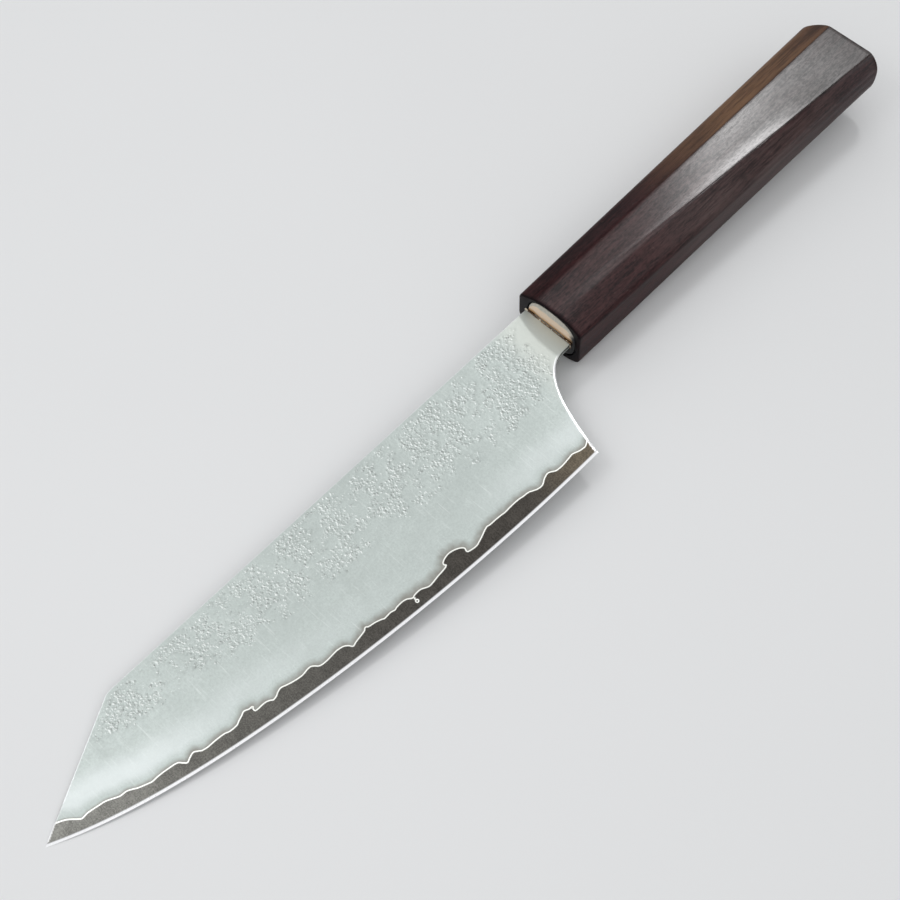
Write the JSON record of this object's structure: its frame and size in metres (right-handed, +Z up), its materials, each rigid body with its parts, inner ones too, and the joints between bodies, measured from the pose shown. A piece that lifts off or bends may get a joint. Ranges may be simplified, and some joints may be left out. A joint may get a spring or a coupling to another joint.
{
  "type": "santoku knife",
  "caption": "Kitchen knife with a clipped-tip laminated blade, curved choil and an eight-sided dark wood handle fixed on a hidden tang.",
  "frame": {"origin": "centre of the bounding box at its lowest plane, with the knife lying on its right side on the handle's lower flat", "axes": "+X from the handle to the tip, +Y to the cutting edge, +Z up, out of the left face of the blade"},
  "size_m": [0.3204, 0.0494, 0.0194],
  "materials": {
    "core_steel": "dark etched satin",
    "cladding_steel": "blasted satin with a pitted band by the spine",
    "handle_wood": "dark close-grained, polished",
    "pale_insert": "polished",
    "resin": "hard, uneven"
  },
  "bodies": {
    "root": {"core_steel": "core_steel", "cladding_left": "cladding_steel", "cladding_right": "cladding_steel", "handle": "handle_wood", "mouth_insert": "pale_insert", "mouth_bead": "resin", "tang_bedding": "resin"}
  },
  "joints": []
}
